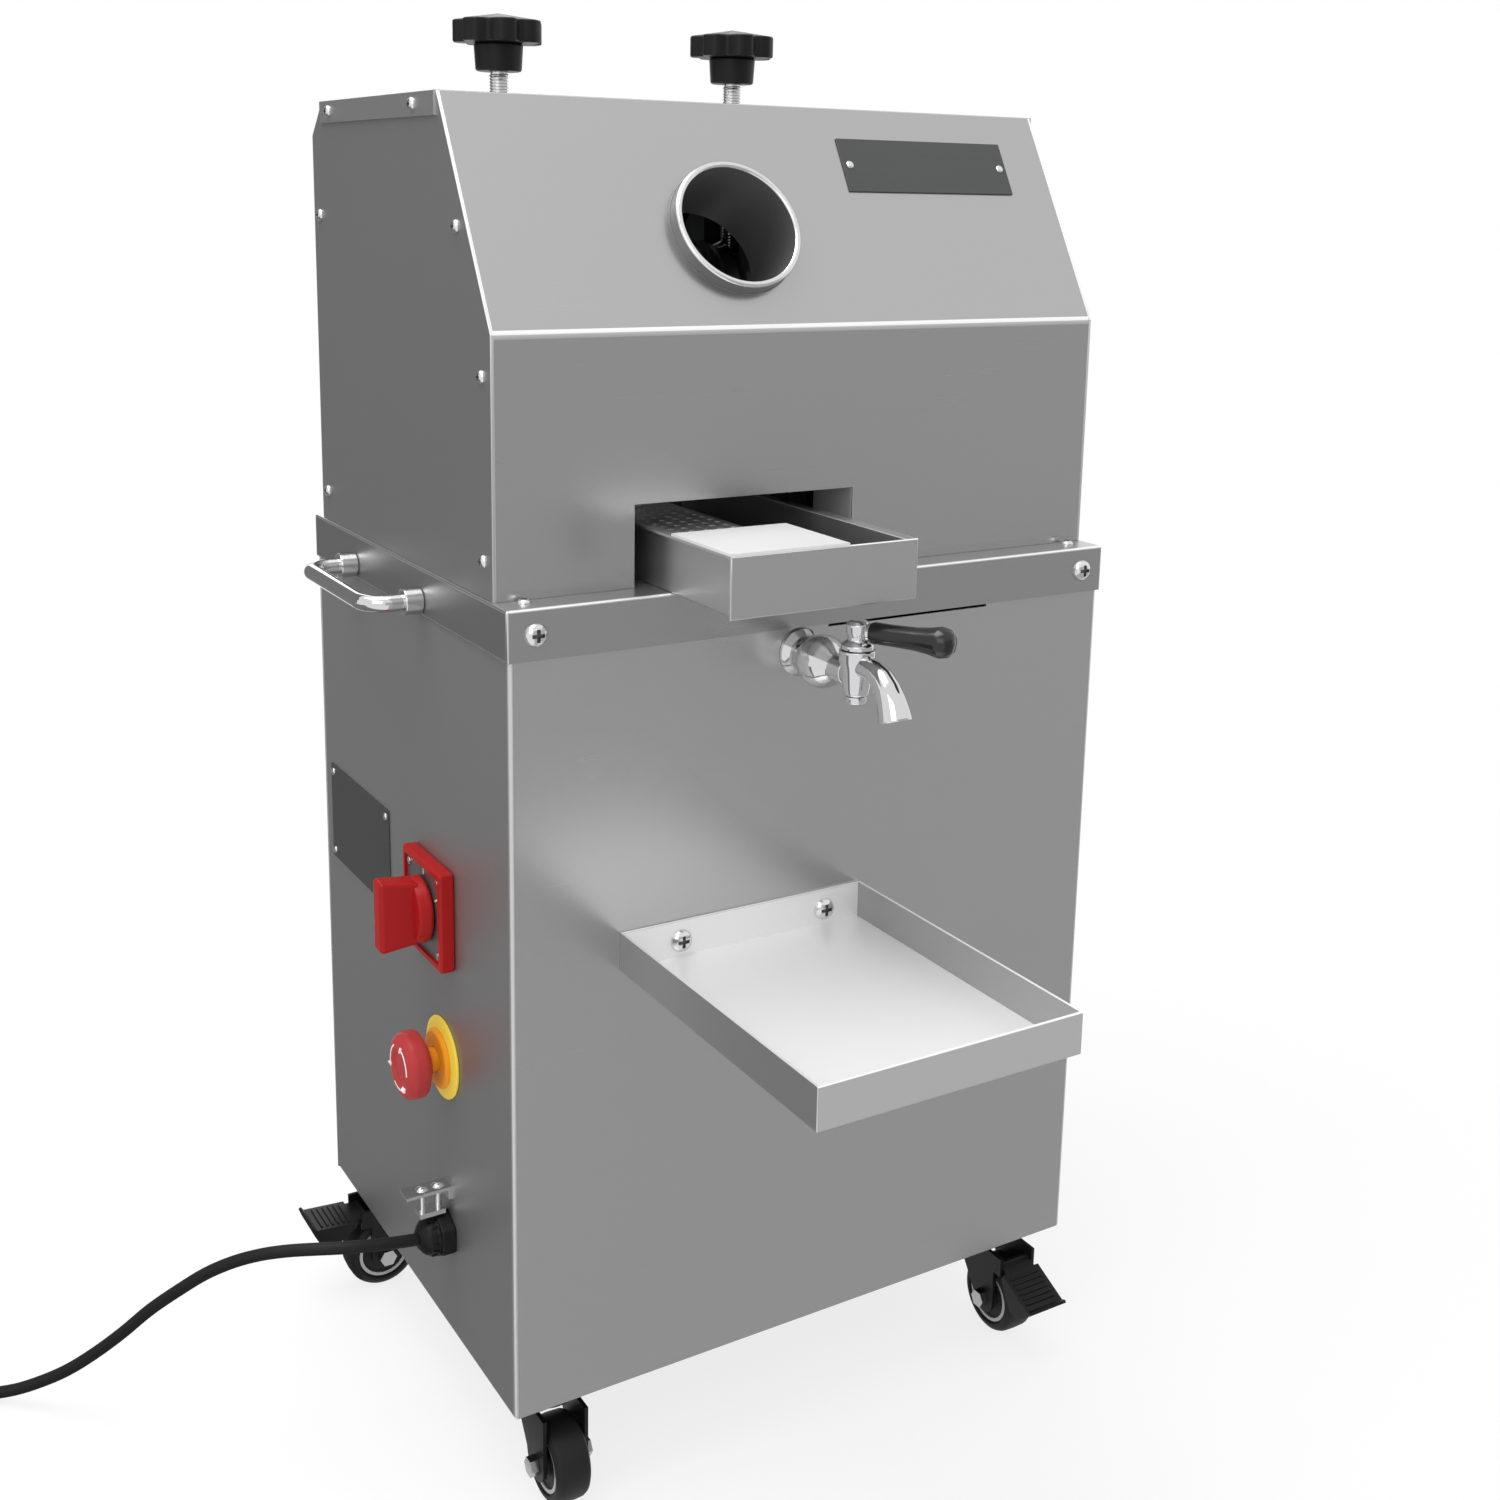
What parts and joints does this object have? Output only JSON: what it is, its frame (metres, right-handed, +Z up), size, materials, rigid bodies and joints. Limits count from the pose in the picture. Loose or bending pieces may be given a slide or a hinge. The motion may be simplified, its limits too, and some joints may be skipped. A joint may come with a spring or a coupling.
{
  "type": "electric sugarcane juicer",
  "caption": "Upright stainless cane press on castors: slanted hood with a round cane inlet over a roller mill, juice drawer, tap, jug shelf, rotary switch and stop button.",
  "frame": {"origin": "on the floor, under the middle of the machine's outline without its cord", "axes": "+Z up, front with the tap and shelf towards -Y, switch side towards -X"},
  "size_m": [0.8605, 0.5947, 0.855],
  "materials": {
    "satin_steel": "satin stainless sheet",
    "bright_steel": "bright stainless",
    "chrome": "polished chrome",
    "grey_plate": "dark anodised, bare",
    "mill_iron": "cast and machined",
    "bronze": "machined",
    "zinc": "zinc plated",
    "black_plastic": "moulded",
    "black_rubber": "matt rubber",
    "red_plastic": "gloss",
    "yellow_plastic": "gloss"
  },
  "bodies": {
    "cabinet": {"cabinet_shell": "satin_steel", "cabinet_floor": "satin_steel", "cabinet_back": "satin_steel", "top_plate": "satin_steel", "hood_front": "satin_steel", "hood_cover": "satin_steel", "hood_end_left": "satin_steel", "hood_end_right": "satin_steel", "inlet_tube": "bright_steel", "bagasse_chute": "satin_steel", "name_plate": "grey_plate", "data_plate": "grey_plate", "carry_handles": "chrome", "shelf_tray": "satin_steel", "skirt_bolts": "bright_steel", "panel_screws": "bright_steel", "mill_cheek_left": "mill_iron", "mill_cheek_right": "mill_iron", "mill_bridges": "mill_iron", "lower_bushes": "bronze", "juice_pan": "satin_steel", "juice_tank": "satin_steel", "gearbox": "mill_iron", "motor": "mill_iron", "tap_body": "chrome", "switch_plate": "red_plastic", "estop_collar": "yellow_plastic", "cable_gland": "black_plastic", "cord_clamp": "chrome", "mains_cord": "black_rubber", "cord_coil": "black_rubber", "mains_plug": "black_plastic", "caster_plates": "zinc"},
    "drawer": {"juice_drawer": "bright_steel", "drawer_strainer": "bright_steel"},
    "top_carriage": {"top_blocks": "bronze"},
    "top_roll": {"top_roller": "bright_steel", "top_gear": "mill_iron"},
    "feed_roll": {"feed_roller": "bright_steel", "feed_gear": "mill_iron"},
    "rear_roll": {"rear_roller": "bright_steel", "rear_gear": "mill_iron", "drive_coupling": "mill_iron"},
    "knob_left": {"pressure_knob_left": "black_plastic"},
    "knob_right": {"pressure_knob_right": "black_plastic"},
    "tap_lever": {"tap_plug": "chrome", "tap_grip": "black_plastic"},
    "switch_lever": {"switch_knob": "red_plastic"},
    "stop_stem": {"estop_stem": "yellow_plastic"},
    "stop_head": {"estop_head": "red_plastic"},
    "fork_fl": {"caster_fork_fl": "black_plastic"},
    "wheel_fl": {"caster_wheel_fl": "black_rubber"},
    "fork_fr": {"caster_fork_fr": "black_plastic"},
    "wheel_fr": {"caster_wheel_fr": "black_rubber"},
    "fork_bl": {"caster_fork_bl": "black_plastic"},
    "wheel_bl": {"caster_wheel_bl": "black_rubber"},
    "fork_br": {"caster_fork_br": "black_plastic"},
    "wheel_br": {"caster_wheel_br": "black_rubber"},
    "pedal_fr": {"brake_pedal_fr": "black_plastic"},
    "pedal_bl": {"brake_pedal_bl": "black_plastic"}
  },
  "joints": [
    {"name": "rear_roll_spin", "type": "hinge", "parent": "cabinet", "child": "rear_roll", "pos_m": [-0.044, 0.14, 0.64452], "axis": [1, 0, 0], "continuous": true},
    {"name": "feed_roll_spin", "type": "hinge", "parent": "cabinet", "child": "feed_roll", "pos_m": [-0.044, 0.068, 0.64452], "axis": [1, 0, 0], "continuous": true},
    {"name": "top_roll_lift", "type": "slide", "parent": "cabinet", "child": "top_carriage", "axis": [0, 0, 1], "range_m": [0, 0.00175]},
    {"name": "top_roll_spin", "type": "hinge", "parent": "top_carriage", "child": "top_roll", "pos_m": [-0.044, 0.104, 0.695], "axis": [1, 0, 0], "continuous": true},
    {"name": "knob_left_turn", "type": "hinge", "parent": "top_carriage", "child": "knob_left", "pos_m": [-0.1235, 0.104, 0.83], "axis": [0, 0, 1], "range_deg": [0, 360]},
    {"name": "knob_right_turn", "type": "hinge", "parent": "top_carriage", "child": "knob_right", "pos_m": [0.0355, 0.104, 0.83], "axis": [0, 0, 1], "range_deg": [0, 360]},
    {"name": "drawer_slide", "type": "slide", "parent": "cabinet", "child": "drawer", "axis": [0, -1, 0], "range_m": [-0.07, 0.11]},
    {"name": "tap_turn", "type": "hinge", "parent": "cabinet", "child": "tap_lever", "pos_m": [-0.021, -0.136, 0.5005], "axis": [0, 0, 1], "range_deg": [-30, 60]},
    {"name": "switch_turn", "type": "hinge", "parent": "cabinet", "child": "switch_lever", "pos_m": [-0.22, 0.03, 0.343], "axis": [-1, 0, 0], "range_deg": [-60, 60]},
    {"name": "stop_push", "type": "slide", "parent": "cabinet", "child": "stop_stem", "axis": [1, 0, 0], "range_m": [0, 0.005]},
    {"name": "stop_twist", "type": "hinge", "parent": "stop_stem", "child": "stop_head", "pos_m": [-0.22, 0.021, 0.251], "axis": [-1, 0, 0], "range_deg": [-45, 0]},
    {"name": "swivel_fl", "type": "hinge", "parent": "cabinet", "child": "fork_fl", "pos_m": [-0.165, -0.044, 0.06], "axis": [0, 0, 1], "continuous": true},
    {"name": "wheel_fl_spin", "type": "hinge", "parent": "fork_fl", "child": "wheel_fl", "pos_m": [-0.165, -0.062, 0.025], "axis": [1, 0, 0], "continuous": true},
    {"name": "swivel_fr", "type": "hinge", "parent": "cabinet", "child": "fork_fr", "pos_m": [0.165, -0.044, 0.06], "axis": [0, 0, 1], "continuous": true},
    {"name": "wheel_fr_spin", "type": "hinge", "parent": "fork_fr", "child": "wheel_fr", "pos_m": [0.165, -0.062, 0.025], "axis": [1, 0, 0], "continuous": true},
    {"name": "swivel_bl", "type": "hinge", "parent": "cabinet", "child": "fork_bl", "pos_m": [-0.165, 0.196, 0.06], "axis": [0, 0, 1], "continuous": true},
    {"name": "wheel_bl_spin", "type": "hinge", "parent": "fork_bl", "child": "wheel_bl", "pos_m": [-0.183, 0.196, 0.025], "axis": [0, -1, 0], "continuous": true},
    {"name": "swivel_br", "type": "hinge", "parent": "cabinet", "child": "fork_br", "pos_m": [0.165, 0.196, 0.06], "axis": [0, 0, 1], "continuous": true},
    {"name": "wheel_br_spin", "type": "hinge", "parent": "fork_br", "child": "wheel_br", "pos_m": [0.174, 0.21159, 0.025], "axis": [-0.866, 0.5, 0], "continuous": true},
    {"name": "pedal_fr_tilt", "type": "hinge", "parent": "fork_fr", "child": "pedal_fr", "pos_m": [0.165, -0.074, 0.054], "axis": [-1, 0, 0], "range_deg": [0, 29]},
    {"name": "pedal_bl_tilt", "type": "hinge", "parent": "fork_bl", "child": "pedal_bl", "pos_m": [-0.195, 0.196, 0.054], "axis": [0, 1, 0], "range_deg": [-29, 0]}
  ],
  "couplings": [
    {"joint": "feed_roll_spin", "follows": "rear_roll_spin", "ratio": 1},
    {"joint": "top_roll_spin", "follows": "rear_roll_spin", "ratio": -1},
    {"joint": "knob_left_turn", "follows": "top_roll_lift", "rad_per_m": 3590.4},
    {"joint": "knob_right_turn", "follows": "top_roll_lift", "rad_per_m": 3590.4}
  ]
}
